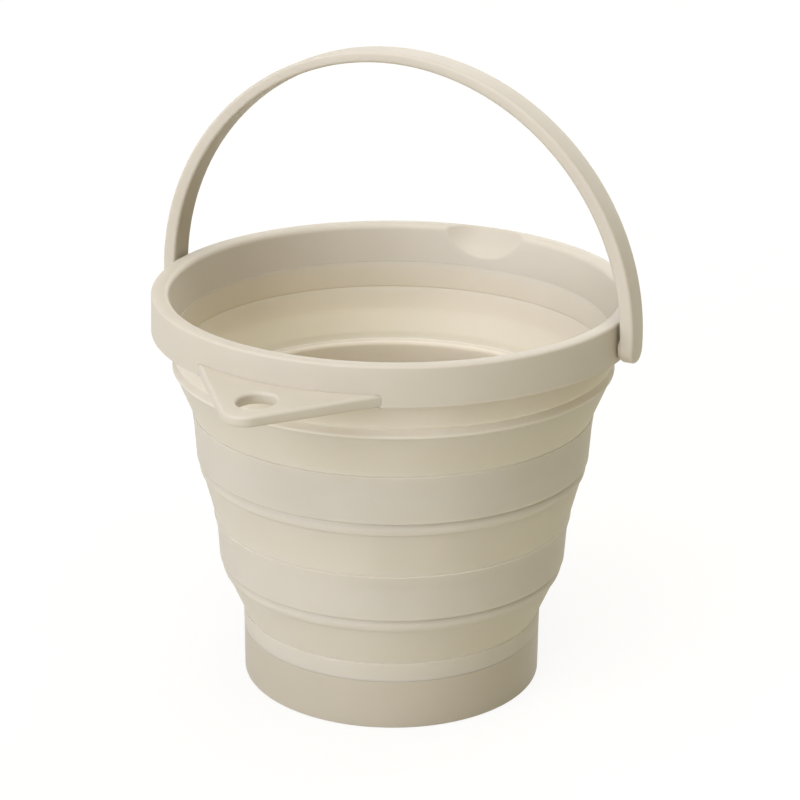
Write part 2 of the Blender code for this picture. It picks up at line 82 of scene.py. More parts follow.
# Camera, as fitted to the photograph. It looks at the axis at VIEW_HEIGHT, which lies at column AXIS_PIXEL.
VIEW_AZIMUTH = math.radians(26.0)
VIEW_ELEVATION = math.radians(20.17)
VIEW_DISTANCE = 1.5834
VIEW_HEIGHT = 0.1876
VIEW_LENS = 109.4
VIEW_ROLL = math.radians(0.42)
SENSOR_WIDTH = 36
AXIS_PIXEL = 393.2
FRAME_PIXELS = 800

# Light: azimuth from the bucket's front towards its right side, elevation, strength and colour
LAMPS = {
    "key": (math.radians(-19), math.radians(8), 3.15, (0.925, 0.965, 1.19)),
    "top": (math.radians(14), math.radians(76), 2.4, (0.96, 0.97, 1.05)),
    "side": (math.radians(95), math.radians(50), 0.08, (1.0, 0.91, 0.64)),
    "back": (math.radians(178), math.radians(28), 1.3, (0.94, 0.96, 1.02)),
}
LAMP_ANGLE = math.radians(60)
WORLD_STRENGTH = 0.11
WORLD_COLOUR = (1.0, 0.90, 0.42, 1)
FLOOR_SIZE = 14
FLOOR_DROP = 0.0002
FLOOR_COLOUR = (0.68, 0.655, 0.54, 1)
FLOOR_GLOW = 1.08
FLOOR_GLOW_SHARE = 0.8

# The plastic: its colours and tones, painted shade in the creases and on the base, painted light on the
# inner side, light that gets through, gloss and grain
HARD_COLOUR = (0.730, 0.655, 0.510, 1)
SOFT_COLOUR = (0.765, 0.700, 0.560, 1)
# The base's colour is darker than the rim's: partly its own tone, partly painted shade near the floor
BASE_COLOUR = (0.640, 0.565, 0.420, 1)
TONE_SPREAD = 0.035
EDGE_LIGHTER = 1.02
# Painted shade: the factor that darkens the creases, where the surface bends inwards
CREASE_PAINTED_SHADE = 0.93
# Painted light: how much paler the inner side is, its share on the rim, and its share on the neck's outer
# side with the height over which it fades in
INSIDE_PAINTED_LIGHT = 1.25
RIM_PAINTED_LIGHT_SHARE = 0.4
NECK_PAINTED_LIGHT_SHARE = 0.75
NECK_PAINTED_LIGHT_FADE = 0.0010
DARK_CLOUD = 0.985
SHEEN = 0.25
HARD_ROUGHNESS = 0.46
SOFT_ROUGHNESS = 0.60
HARD_SCATTER = 0.15
SOFT_SCATTER = 0.60
SCATTER_DEPTH = 0.0060
SCATTER_TINT = (1.0, 0.95, 0.88)
ROUGH_SPREAD = 0.05
HARD_GRAIN_HEIGHT = 0.00006
SOFT_GRAIN_HEIGHT = 0.00010
WAVE_HEIGHT = 0.00025
GRAIN_STRENGTH = 0.5
WAVE_STRENGTH = 0.3

# Noise: its scale in cycles a metre and its number of octaves
CLOUDS = (14, 3)
STREAKS = (60, 4)
GRAIN = (1500, 2)
WAVES = (35, 1)

# Places on the ramps: of the clouds' tone, and of the bend of the surface from a crease to an edge
CLOUD_LOW, CLOUD_HIGH = 0.3, 0.7
CREASE_BEND, FLAT_FROM, FLAT_TO, EDGE_BEND = 0.44, 0.49, 0.51, 0.56

# Soft wall: its thicknesses, the bands' tops and feet, and the ledge and groove at each fold's foot
BAND_WALL = 0.0066
FOOT_BAND_WALL = 0.0036
NECK_WALL = 0.0032
WEB_WALL = 0.0018
BAND_TOP_FILLET = 0.0020
FLARE_HEIGHT = 0.0090
FLARE_FILLET = 0.0300
BAND_FOOT_FILLET = 0.0022
CREASE_INSET = 0.0009
CREASE_FILLET = 0.0012
LEDGE_RISE = 0.0008
LEDGE_ROOT_FILLET = 0.0009
LEDGE_FILLET = 0.0060
FOLD_GROOVE_DEPTH = 0.0011
FOLD_GROOVE_HEIGHT = 0.0046
FOLD_GROOVE_FILLET = 0.0090
SEAM_FILLET = 0.0002

# Rings under the bands: a step in to a groove, then a soft bead that rounds into the web. An inset is
# measured inwards from the band's foot, a lean from its top to its foot.
GROOVE_STEP = 0.0023
GROOVE_BELOW = 0.0010
GROOVE_FILLET = 0.0005
BEAD_DROP = 0.0048
BEAD_FILLET = 0.0060
RING_END_DROP = 0.0008
RING_END_INSET = 0.0012
RING_END_FILLET = 0.0014
WEB_TOP_FILLET = 0.0008
INSIDE_STEP = 0.0005
INSIDE_STEP_RISE = 0.0008
INSIDE_STEP_FILLET = 0.0008
WEB_THICKENING = 0.0008
WEB_BEND_DROP = 0.0080
WEB_BEND_FILLET = 0.0400
LOWER_RING_HEIGHT = 0.0083
LOWER_BAND_LEAN = 0.0020
LOWER_BAND_FLARE = 0.0016
LOWER_BEAD_INSET = 0.0013
LOWER_LIP_INSET = 0.0028
UPPER_RING_HEIGHT = 0.0080
UPPER_BAND_LEAN = 0.0021
UPPER_BAND_FLARE = 0.0005
UPPER_BEAD_INSET = 0.0013
UPPER_LIP_INSET = 0.0020
NECK_RING_HEIGHT = 0.0065
NECK_BEAD_INSET = -0.0009
NECK_LIP_INSET = -0.0009
NECK_SHOULDER = 0.0032
NECK_LEAN = 0.0004
NECK_PROUD = 0.0002

# Base cup, with a foot ring, a ring groove and the mark of its moulding gate
BASE_WALL = 0.0032
BASE_FLOOR = 0.0040
BASE_LEAN = 0.0001
BASE_FOOT_FILLET = 0.0014
BASE_TOP_FILLET = 0.0003
BASE_INSIDE_FILLET = 0.0070
BASE_EDGE_FILLET = 0.0005
FOOT_RING_WIDTH = 0.0080
FOOT_GROOVE_WIDTH = 0.0100
FOOT_GROOVE_DEPTH = 0.0012
FOOT_GROOVE_FILLET = 0.0004
GATE_RADIUS = 0.0060
GATE_DEPTH = 0.0005

# Rim frame: a channel that is open underneath, with a slightly crowned land on top and a sloping inner face
RIM_FLARE = 0.0006
SKIRT_WALL = 0.0028
RIM_TOP_WALL = 0.0030
RIM_INSIDE_WALL = 0.0030
RIM_LAND_WIDTH = 0.0106
RIM_SLOPE_RUN = 0.0054
RIM_OUTER_FILLET = 0.0018
RIM_MOUTH_FILLET = 0.0045
RIM_FOOT_FILLET = 0.0009
RIM_THROAT_FILLET = 0.0003
RIM_CROWN = 0.0009
RIM_CROWN_SHARE = 0.38
RIM_CROWN_FILLET = 0.0300

# Spout: a dish that is part of a ball, pressed back towards a focus, which lies so far out from and below
# the mouth's edge
SPOUT_RADIUS = 0.0443
SPOUT_DEPTH = 0.0184
SPOUT_LIP = 0.0012
SPOUT_WALL = 0.0028
SPOUT_SOFTNESS = 0.0010
SPOUT_FOCUS = (0.0040, 0.0300)

# Hanging tab: its thickness at the root, how far its two faces drop at the tip, and its outline
TAB_THICKNESS = 0.0080
TAB_TOP_DROP = 0.0019
TAB_FOOT_DROP = 0.0010
TAB_FILLET = 0.0022
TAB_FILLET_STEPS = 4
TAB_HALF_WIDTH = 0.0648
TAB_TIP_RADIUS = 0.0150
TAB_HOLE_WIDTH = 0.0225
TAB_HOLE_LENGTH = 0.0255
TAB_HOLE_TO_TIP = 0.0267

# Handle: the strap, and at each end a pad, a pin and a snap head with a slot
STRAP_HALF_WIDTH = 0.0095
LEG_THICKNESS = 0.0092
TOP_THICKNESS = 0.0072
SPRING_RISE = 0.0040
STRAP_FILLET = 0.0021
PAD_RADIUS = 0.0080
PAD_THICKNESS = 0.0010
PAD_FILLET = 0.0003
PIN_RADIUS = 0.0040
PIN_GAP = 0.0004
HEAD_RADIUS = 0.0053
HEAD_LENGTH = 0.0024
HEAD_CHAMFER = 0.0008
HEAD_PLAY = 0.0004
SLOT_WIDTH = 0.0016
SLOT_DEPTH = 0.0038
CUT_OVERRUN = 0.0020


def top_of(node):
    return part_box(node)[1].z


def bottom_of(node):
    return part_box(node)[0].z


def radius_of(node):
    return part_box(node)[1].x


def fillet(before, corner, after, radius):
    """Points of the arc that rounds a corner, no larger than its sides allow."""
    back, ahead = before - corner, after - corner
    half_angle = back.angle(ahead) / 2
    reach = min(radius / math.tan(half_angle), FILLET_SHARE * min(back.length, ahead.length))
    radius = reach * math.tan(half_angle)
    middle = (back.normalized() + ahead.normalized()).normalized()
    centre = corner + middle * (radius / math.sin(half_angle))
    start = corner + back.normalized() * reach - centre
    turn = start.angle_signed(corner + ahead.normalized() * reach - centre)
    steps = max(LEAST_ARC_STEPS, math.ceil(abs(turn) / ARC_STEP))
    return [centre + Matrix.Rotation(-turn * step / steps, 2) @ start for step in range(steps + 1)]


def outline(corners, closed=True):
    """Outline from corners (x, y), or (x, y, radius) for a rounded one."""
    points = []
    count = len(corners)
    for index, corner in enumerate(corners):
        here = Vector(corner[:2])
        if len(corner) == 2 or (not closed and index in (0, count - 1)):
            points.append(here)
            continue
        before = Vector(corners[index - 1][:2])
        after = Vector(corners[(index + 1) % count][:2])
        points += fillet(before, here, after, corner[2])
    return points


def split_sides(points, step_of, closed=True):
    """The outline with each side split evenly, into steps that step_of gives for its two ends."""
    split = []
    for index, point in enumerate(points):
        split.append(point)
        if index == len(points) - 1 and not closed:
            break
        following = points[(index + 1) % len(points)]
        pieces = math.ceil((following - point).length / step_of(point, following))
        split += [point.lerp(following, part / pieces) for part in range(1, pieces)]
    return split


def add_object(name, data):
    thing = bpy.data.objects.new(name, data)
    bpy.context.scene.collection.objects.link(thing)
    return thing


def simple_object(name, operation, **settings):
    """Object whose mesh comes from one bmesh operation: a cutter or the floor."""
    mesh = bpy.data.meshes.new(name)
    shape = bmesh.new()
    operation(shape, **settings)
    shape.to_mesh(mesh)
    shape.free()
    return add_object(name, mesh)


def mesh_object(name, vertices, faces, material):
    """A closed piece from vertices and faces, welded, with its faces pointing out."""
    mesh = bpy.data.meshes.new(name)
    mesh.from_pydata(vertices, [], faces)
    shape = bmesh.new()
    shape.from_mesh(mesh)
    bmesh.ops.remove_doubles(shape, verts=shape.verts, dist=MERGE_DISTANCE)
    bmesh.ops.recalc_face_normals(shape, faces=shape.faces)
    shape.to_mesh(mesh)
    shape.free()
    mesh.materials.append(material)
    smooth(mesh)
    return add_object(name, mesh)


def mark_painted_inside_light(piece, share=1, neck=None):
    """Mark the points that get painted light: those on the inner side, whose normals point to the bucket's
    axis, up to a share of 1.

    The thin neck, above the height that is given, is marked on its outer side too: painted light that
    stands in for the light coming through it and lightens the rim's shadow on it.
    """
    mesh = piece.data
    count = len(mesh.vertices)
    places = np.empty(count * 3)
    mesh.vertices.foreach_get("co", places)
    normals = np.empty(count * 3)
    mesh.vertex_normals.foreach_get("vector", normals)
    places, normals = places.reshape(-1, 3), normals.reshape(-1, 3)
    reach = np.maximum(np.hypot(places[:, 0], places[:, 1]), MERGE_DISTANCE)
    inward = -(places[:, 0] * normals[:, 0] + places[:, 1] * normals[:, 1]) / reach
    mark = mesh.attributes.new("inside", "FLOAT", "POINT")
    value = share * np.clip(inward / INSIDE_SHARPNESS, 0, 1)
    if neck is not None:
        value = np.maximum(value, NECK_PAINTED_LIGHT_SHARE * np.clip((places[:, 2] - neck) / NECK_PAINTED_LIGHT_FADE, 0, 1))
    mark.data.foreach_set("value", value)


def smooth(mesh):
    mesh.shade_smooth()
    mesh.set_sharp_from_angle(angle=SMOOTH_ANGLE)


def grid_faces(rows, columns, close_rows, close_columns):
    """Quads between neighbouring points of a grid that is numbered row by row."""
    faces = []
    for row in range(rows if close_rows else rows - 1):
        following = (row + 1) % rows
        for column in range(columns if close_columns else columns - 1):
            beside = (column + 1) % columns
            faces.append(
                (
                    row * columns + column,
                    row * columns + beside,
                    following * columns + beside,
                    following * columns + column,
                )
            )
    return faces


def even_angles(steps):
    return [2 * math.pi * step / steps for step in range(steps)]


def turned_points(profile, angles):
    """Points of a (radius, height) profile turned about Z, one row for each angle."""
    radius = np.array([point[0] for point in profile])
    height = np.array([point[1] for point in profile])
    angles = np.array(angles)[:, None]
    points = np.empty((len(angles), len(profile), 3))
    points[..., 0] = radius * np.cos(angles)
    points[..., 1] = radius * np.sin(angles)
    points[..., 2] = height
    return points


def turned(name, profile, material, closed=True, steps=TURN_STEPS):
    points = turned_points(profile, even_angles(steps))
    faces = grid_faces(steps, len(profile), True, closed)
    return mesh_object(name, points.reshape(-1, 3).tolist(), faces, material)


def cut_out(piece, *cutters):
    """Cut closed shapes out of a piece for good."""
    for cutter in cutters:
        modifier = piece.modifiers.new("cut", "BOOLEAN")
        modifier.operation = "DIFFERENCE"
        modifier.solver = "EXACT"
        modifier.object = cutter
    graph = bpy.context.evaluated_depsgraph_get()
    mesh = bpy.data.meshes.new_from_object(piece.evaluated_get(graph))
    piece.modifiers.clear()
    piece.data = mesh
    smooth(mesh)
    for cutter in cutters:
        bpy.data.objects.remove(cutter, do_unlink=True)


def place(piece, body, slot, *nodes):
    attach(piece, body)
    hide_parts(*nodes)


def web_step(low, high):
    """Gives fine steps along a web, between two heights, and coarse ones elsewhere."""

    def step(point, following):
        middle = (point.y + following.y) / 2
        return WEB_STEP if low < middle < high else FLAT_STEP

    return step


def band_outside(top, top_radius, flare, groove, foot_radius):
    """Corners down a band's outer side: the crease under the web, the flared top, the foot and its seam."""
    lean = (top_radius - foot_radius) / (top - groove)
    return [
        (top_radius + flare - CREASE_INSET, top, CREASE_FILLET),
        (top_radius + flare, top, BAND_TOP_FILLET),
        (top_radius - lean * FLARE_HEIGHT, top - FLARE_HEIGHT, FLARE_FILLET),
        (foot_radius, groove, BAND_FOOT_FILLET),
        (foot_radius - GROOVE_STEP, groove),
    ]


def band_inside(groove, foot_radius, wall):
    """Corners up a band's inner side: the seam and the foot of the wall's face."""
    foot_inside = foot_radius - wall
    return [
        (foot_inside + INSIDE_STEP, groove + INSIDE_STEP_RISE - INSIDE_STEP),
        (foot_inside, groove + INSIDE_STEP_RISE, INSIDE_STEP_FILLET),
    ]


def web_inside(top, top_radius, wall, lip, lip_radius):
    """Corners up a web's inner side: the rounded ledge below it, its fold line and its bend at the top."""
    foot = Vector((top_radius - CREASE_INSET - WEB_WALL, top))
    head = Vector((lip_radius - RING_END_INSET - WEB_WALL - WEB_THICKENING, lip))
    lean = (head.x - foot.x) / (head.y - foot.y)
    root = foot.x + lean * LEDGE_RISE
    return [
        (top_radius - wall, top, LEDGE_FILLET),
        (root + FOLD_GROOVE_DEPTH, top + LEDGE_RISE, LEDGE_ROOT_FILLET),
        (root + lean * FOLD_GROOVE_HEIGHT, top + LEDGE_RISE + FOLD_GROOVE_HEIGHT, FOLD_GROOVE_FILLET),
        (head.x - lean * WEB_BEND_DROP, lip - WEB_BEND_DROP, WEB_BEND_FILLET),
    ]


def ring_outside(groove, foot_radius, bead_inset, lip, lip_radius):
    """Corners down a ring's outer side: its seam in the groove, the bead and the web's top."""
    return [
        (foot_radius - GROOVE_STEP, groove),
        (foot_radius - GROOVE_STEP, groove - GROOVE_BELOW, GROOVE_FILLET),
        (foot_radius - bead_inset, groove - BEAD_DROP, BEAD_FILLET),
        (lip_radius, lip, RING_END_FILLET),
        (lip_radius - RING_END_INSET, lip - RING_END_DROP, WEB_TOP_FILLET),
    ]


def ring_seam(groove, foot_radius, wall):
    """The inner end of the seam between a ring and the band above it."""
    return (foot_radius - wall + INSIDE_STEP, groove + INSIDE_STEP_RISE - INSIDE_STEP)


def foot_band_corners():
    """Corners of the foot band, from the crease under the web down to its seam with the base cup."""
    top, bottom = top_of("wall_foot_band"), top_of("base_cup")
    radius, foot_radius = radius_of("wall_foot_band"), radius_of("base_cup")
    return [
        (radius - CREASE_INSET, top, CREASE_FILLET),
        (radius, top, BAND_TOP_FILLET),
        (foot_radius, bottom, SEAM_FILLET),
        (foot_radius - FOOT_BAND_WALL, bottom, SEAM_FILLET),
    ]


def make_wall(name, corners, material, low, high, lower_body, upper_body, *nodes):
    """A tier of the soft wall, whose web bends between the heights low and high."""
    profile = split_sides(outline(corners), web_step(low, high))
    piece = turned(name, profile, material)
    # Painted light on the inner side, and on the neck's outer side for the top tier
    mark_painted_inside_light(piece, neck=bottom_of("wall_collar") if upper_body == "rim" else None)
    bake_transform(piece)
    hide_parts(*nodes)


def make_soft_wall(material):
    """The soft wall, from the foot band up to the neck, parted in the groove under each band."""
    foot_top = top_of("wall_foot_band")
    lower_top, lower_lip = top_of("wall_band_lower"), bottom_of("wall_band_lower")
    upper_top, upper_lip = top_of("wall_band_upper"), bottom_of("wall_band_upper")
    neck_lip = bottom_of("wall_collar")
    lower_radius, upper_radius = radius_of("wall_band_lower"), radius_of("wall_band_upper")
    lower_foot = lower_radius - LOWER_BAND_LEAN
    upper_foot = upper_radius - UPPER_BAND_LEAN
    neck_radius = rim_throat().x + NECK_SHOULDER
    neck_foot = neck_radius - NECK_LEAN
    lower_groove = lower_lip + LOWER_RING_HEIGHT
    upper_groove = upper_lip + UPPER_RING_HEIGHT
    neck_groove = neck_lip + NECK_RING_HEIGHT
    lower_lip_radius = lower_foot - LOWER_LIP_INSET
    upper_lip_radius = upper_foot - UPPER_LIP_INSET
    neck_lip_radius = neck_foot - NECK_LIP_INSET

    lower = [
        *ring_outside(lower_groove, lower_foot, LOWER_BEAD_INSET, lower_lip, lower_lip_radius),
        *foot_band_corners(),
        *web_inside(foot_top, radius_of("wall_foot_band"), FOOT_BAND_WALL, lower_lip, lower_lip_radius),
        ring_seam(lower_groove, lower_foot, BAND_WALL),
    ]
    make_wall(
        "wall_lower", lower, material, foot_top, lower_lip, "base", "tier_lower",
        "wall_foot_band", "fold_lower",
    )
    middle = [
        *ring_outside(upper_groove, upper_foot, UPPER_BEAD_INSET, upper_lip, upper_lip_radius),
        *band_outside(lower_top, lower_radius, LOWER_BAND_FLARE, lower_groove, lower_foot),
        *band_inside(lower_groove, lower_foot, BAND_WALL),
        *web_inside(lower_top, lower_radius + LOWER_BAND_FLARE, BAND_WALL, upper_lip, upper_lip_radius),
        ring_seam(upper_groove, upper_foot, BAND_WALL),
    ]
    make_wall(
        "wall_middle", middle, material, lower_top, upper_lip, "tier_lower", "tier_upper",
        "wall_band_lower", "fold_middle",
    )
    upper = [
        (neck_radius, rim_throat().y),
        (neck_foot, neck_groove, BAND_FOOT_FILLET),
        *ring_outside(neck_groove, neck_foot, NECK_BEAD_INSET, neck_lip, neck_lip_radius)[1:],
        *band_outside(upper_top, upper_radius, UPPER_BAND_FLARE, upper_groove, upper_foot),
        *band_inside(upper_groove, upper_foot, BAND_WALL),
        *web_inside(upper_top, upper_radius + UPPER_BAND_FLARE, BAND_WALL, neck_lip, neck_lip_radius),
        (*ring_seam(neck_groove, neck_foot, NECK_WALL), SEAM_FILLET),
        (neck_foot - NECK_WALL, neck_groove + INSIDE_STEP_RISE, INSIDE_STEP_FILLET),
        (rim_throat().x - NECK_PROUD, rim_throat().y, SEAM_FILLET),
    ]
    make_wall(
        "wall_upper", upper, material, upper_top, neck_lip, "tier_upper", "rim",
        "wall_band_upper", "fold_upper", "wall_collar",
    )


def make_base(material):
    """Base cup with a foot ring, a ring groove and the mark of its moulding gate underneath."""
    top = top_of("base_cup")
    radius = radius_of("base_cup")
    inside = radius - BASE_WALL
    groove = radius - FOOT_RING_WIDTH
    corners = [
        (0, BASE_FLOOR),
        (inside - BASE_LEAN, BASE_FLOOR, BASE_INSIDE_FILLET),
        (inside, top, BASE_EDGE_FILLET),
        (radius, top, BASE_TOP_FILLET),
        (radius - BASE_LEAN, 0, BASE_FOOT_FILLET),
        (groove, 0, BASE_EDGE_FILLET),
        (groove - FOOT_GROOVE_DEPTH, FOOT_GROOVE_DEPTH, FOOT_GROOVE_FILLET),
        (groove - FOOT_GROOVE_WIDTH + FOOT_GROOVE_DEPTH, FOOT_GROOVE_DEPTH, FOOT_GROOVE_FILLET),
        (groove - FOOT_GROOVE_WIDTH, 0, BASE_EDGE_FILLET),
        (GATE_RADIUS, 0),
        (GATE_RADIUS - GATE_DEPTH, GATE_DEPTH),
        (0, GATE_DEPTH),
    ]
    profile = split_sides(outline(corners, closed=False), lambda *ends: FLAT_STEP, closed=False)
    piece = turned("base", profile, material, closed=False)
    mark_painted_inside_light(piece)
    place(piece, "base", "hard_plastic", "base_cup")


def rim_radius():
    return radius_of("rim_frame") - RIM_FLARE


def rim_throat():
    """Radius and height of the lower edge of the rim's sloping inner face."""
    return Vector((rim_radius() - RIM_LAND_WIDTH - RIM_SLOPE_RUN, bottom_of("rim_frame")))


def rim_mouth():
    """Radius and height of the upper edge of the rim's sloping inner face."""
    return Vector((rim_radius() - RIM_LAND_WIDTH, top_of("rim_frame")))


def spout_centre():
    """Centre of the dish: its ball passes its lowest point inside and its lip at the rim's edge."""
    low = rim_mouth().lerp(rim_throat(), SPOUT_DEPTH / (rim_mouth().y - rim_throat().y))
    lip = Vector((rim_radius() - SPOUT_LIP, rim_mouth().y))
    chord = lip - low
    away = Vector((-chord.y, chord.x)).normalized()
    centre = (low + lip) / 2 + away * math.sqrt(SPOUT_RADIUS**2 - (chord.length / 2) ** 2)
    return np.array((0, centre.x, centre.y))


def rim_profile():
    """Rim section as one closed outline, and how many of its points lie on the side that shows."""
    radius, top, bottom = rim_radius(), rim_mouth().y, rim_throat().y
    skirt_inside = radius - SKIRT_WALL
    channel_top = top - RIM_TOP_WALL
    wall_share = (channel_top - bottom) / (top - bottom)
    wall_back = rim_throat().lerp(rim_mouth(), wall_share).x + RIM_INSIDE_WALL
    shown = [
        (radius + RIM_FLARE - RIM_FOOT_FILLET, bottom),
        (radius + RIM_FLARE, bottom, RIM_FOOT_FILLET),
        (radius, top, RIM_OUTER_FILLET),
        (radius - RIM_CROWN_SHARE * RIM_LAND_WIDTH, top + RIM_CROWN, RIM_CROWN_FILLET),
        (*rim_mouth(), RIM_MOUTH_FILLET),
        (*rim_throat(), RIM_THROAT_FILLET),
        (rim_throat().x + RIM_THROAT_FILLET, bottom),
    ]
    hidden = [
        (rim_throat().x + RIM_INSIDE_WALL, bottom),
        (wall_back, channel_top),
        (skirt_inside, channel_top),
        (skirt_inside, bottom),
    ]

    def step(point, following):
        on_skirt = point.x > radius - MERGE_DISTANCE and following.x > radius - MERGE_DISTANCE
        return FLAT_STEP if on_skirt else RIM_FACE_STEP

    front = split_sides(outline(shown, closed=False), step, closed=False)
    back = [Vector(corner) for corner in hidden]
    back = split_sides(back[:3], lambda *ends: RIM_BACK_STEP, closed=False) + back[3:]
    return front + back, len(front)


def ways_out(profile, angles):
    """Directions from a focus under the mouth's edge out through the points of the turned outline."""
    focus = rim_mouth() + Vector((SPOUT_FOCUS[0], -SPOUT_FOCUS[1]))
    ways = np.array(profile) - np.array(focus)
    ways /= np.linalg.norm(ways, axis=1)[:, None]
    return turned_points(ways, angles)


def press_front(points, ways, centre):
    """Press the points that lie in the dish's ball back towards the focus, with a soft edge."""
    away = points - centre
    facing = np.einsum("ijk,ijk->ij", away, ways)
    reach = facing**2 - np.einsum("ijk,ijk->ij", away, away) + SPOUT_RADIUS**2
    depth = facing + np.sqrt(np.maximum(reach, 0))
    depth[(facing >= 0) | (reach <= 0)] = -SPOUT_SOFTNESS
    blend = np.maximum(SPOUT_SOFTNESS - np.abs(depth), 0) ** 2 / (4 * SPOUT_SOFTNESS)
    return points - ways * (np.maximum(depth, 0) + blend)[..., None]


def press_back(points, centre):
    """Keep the hidden side of the channel a wall's thickness behind the dish, inside the skirt."""
    ball = SPOUT_RADIUS + SPOUT_WALL
    skirt_inside = rim_radius() - SKIRT_WALL
    away = points - centre
    distance = np.linalg.norm(away, axis=2)
    pressed = centre + away * (np.maximum(distance, ball) / distance)[..., None]
    reach = np.hypot(pressed[..., 0], pressed[..., 1])
    pressed[..., :2] *= (np.minimum(reach, skirt_inside) / reach)[..., None]
    across = np.hypot(pressed[..., 0] - centre[0], pressed[..., 1] - centre[1])
    under = centre[2] - np.sqrt(np.maximum(ball**2 - across**2, 0))
    pressed[..., 2] = np.where(across < ball, np.minimum(pressed[..., 2], under), pressed[..., 2])
    pressed[..., 2] = np.maximum(pressed[..., 2], np.minimum(points[..., 2], rim_throat().y))
    return pressed


def rim_angles():
    """Angles about Z, fine where the spout is and coarser round the rest."""
    fine = round(2 * SPOUT_HALF_ANGLE / SPOUT_STEP)
    rest = 2 * math.pi - 2 * SPOUT_HALF_ANGLE
    coarse = round(TURN_STEPS * rest / (2 * math.pi))
    start = math.pi / 2 - SPOUT_HALF_ANGLE
    angles = [start + 2 * SPOUT_HALF_ANGLE * step / fine for step in range(fine)]
    return angles + [start + 2 * SPOUT_HALF_ANGLE + rest * step / coarse for step in range(coarse)]


def tab_outline():
    """Outline of the tab and of its hole, with the bucket's axis at 0, 0 and the tip at +Y."""
    root = rim_radius() - SKIRT_WALL / 2
    tab_reach = -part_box("rim_frame")[0].y
    tip = Vector((0, tab_reach - TAB_TIP_RADIUS))
    corner_angle = math.asin(TAB_HALF_WIDTH / root)
    corner = Vector((TAB_HALF_WIDTH, root * math.cos(corner_angle)))
    to_tip = tip - corner
    edge_angle = math.atan2(to_tip.y, -to_tip.x) + math.asin(TAB_TIP_RADIUS / to_tip.length)
    points = []
    for step in range(END_STEPS + 1):
        angle = math.pi / 2 - corner_angle * (1 - 2 * step / END_STEPS)
        points.append(root * Vector((math.cos(angle), math.sin(angle))))
    for step in range(END_STEPS + 1):
        angle = math.pi / 2 + edge_angle - 2 * edge_angle * step / END_STEPS
        points.append(tip + TAB_TIP_RADIUS * Vector((math.cos(angle), math.sin(angle))))
    hole_middle = Vector((0, tab_reach - TAB_HOLE_TO_TIP))
    half_size = Vector((TAB_HOLE_WIDTH / 2, TAB_HOLE_LENGTH / 2))
    hole = [
        hole_middle + half_size * Vector((math.cos(angle), math.sin(angle)))
        for angle in even_angles(HOLE_STEPS)
    ]
    return points, hole


def taper_tab(mesh):
    """Make the tab thin and droop a little towards its tip."""
    root, foot, tip = rim_radius(), rim_throat().y, -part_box("rim_frame")[0].y
    for vertex in mesh.vertices:
        along = max(0, (-vertex.co.y - root) / (tip - root))
        up = (vertex.co.z - foot) / TAB_THICKNESS
        vertex.co.z -= along * (TAB_FOOT_DROP + up * (TAB_TOP_DROP - TAB_FOOT_DROP))


def make_tab(material):
    """Flat tab at the foot of the skirt, a filled outline with rounded edges."""
    curve = bpy.data.curves.new("hanging_tab", "CURVE")
    curve.dimensions = "2D"
    curve.fill_mode = "BOTH"
    curve.extrude = TAB_THICKNESS / 2 - TAB_FILLET
    curve.bevel_depth = TAB_FILLET
    curve.offset = -TAB_FILLET
    curve.bevel_resolution = TAB_FILLET_STEPS
    for loop in tab_outline():
        spline = curve.splines.new("POLY")
        spline.points.add(len(loop) - 1)
        for spot, point in zip(spline.points, loop):
            spot.co = (point.x, point.y, 0, 1)
        spline.use_cyclic_u = True
    drawn = add_object("tab_outline", curve)
    graph = bpy.context.evaluated_depsgraph_get()
    mesh = bpy.data.meshes.new_from_object(drawn.evaluated_get(graph))
    bpy.data.objects.remove(drawn, do_unlink=True)
    middle = rim_throat().y + TAB_THICKNESS / 2
    mesh.transform(Matrix.Translation((0, 0, middle)) @ Matrix.Rotation(math.pi, 4, "Z"))
    taper_tab(mesh)
    vertices = [tuple(vertex.co) for vertex in mesh.vertices]
    faces = [tuple(face.vertices) for face in mesh.polygons]
    return mesh_object("hanging_tab", vertices, faces, material)


def pin_hole(name, side):
    """Cutter for the hole of a pin through the skirt."""
    radius = PIN_RADIUS + PIN_GAP
    length = SKIRT_WALL + 2 * CUT_OVERRUN
    hole = simple_object(
        name, bmesh.ops.create_cone,
        cap_ends=True, segments=HOLE_STEPS, radius1=radius, radius2=radius, depth=length,
    )
    middle = (side * (rim_radius() - SKIRT_WALL / 2), 0, pivot_height())
    hole.data.transform(Matrix.Rotation(math.pi / 2, 4, "Y"))
    hole.data.transform(Matrix.Translation(middle))
    return hole


def make_rim(material):
    """Rim frame: an open channel with the spout pressed into it, the tab and the pin holes."""
    profile, shown = rim_profile()
    angles = rim_angles()
    points = turned_points(profile, angles)
    centre = spout_centre()
    points[:, :shown] = press_front(points[:, :shown], ways_out(profile[:shown], angles), centre)
    points[:, shown:] = press_back(points[:, shown:], centre)
    faces = grid_faces(len(angles), len(profile), True, True)
    rim = mesh_object("rim_ring", points.reshape(-1, 3).tolist(), faces, material)
    cut_out(rim, pin_hole("pin_hole_right", 1), pin_hole("pin_hole_left", -1))
    mark_painted_inside_light(rim, RIM_PAINTED_LIGHT_SHARE)
    place(rim, "rim", "hard_plastic", "rim_frame")
    tab = make_tab(material)
    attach(tab, "rim")


def pivot_height():
    joint = next(joint for joint in frame["joints"] if joint["name"] == "handle_swing")
    return joint["pos_m"][2]


def half_section(inner, thickness):
    """Half of the strap's section, across its thickness, from its inner face round one edge."""
    corners = [
        (inner, 0),
        (inner, STRAP_HALF_WIDTH, STRAP_FILLET),
        (inner + thickness, STRAP_HALF_WIDTH, STRAP_FILLET),
        (inner + thickness, 0),
    ]
    return outline(corners, closed=False)


def strap_half_span():
    return radius_of("handle")


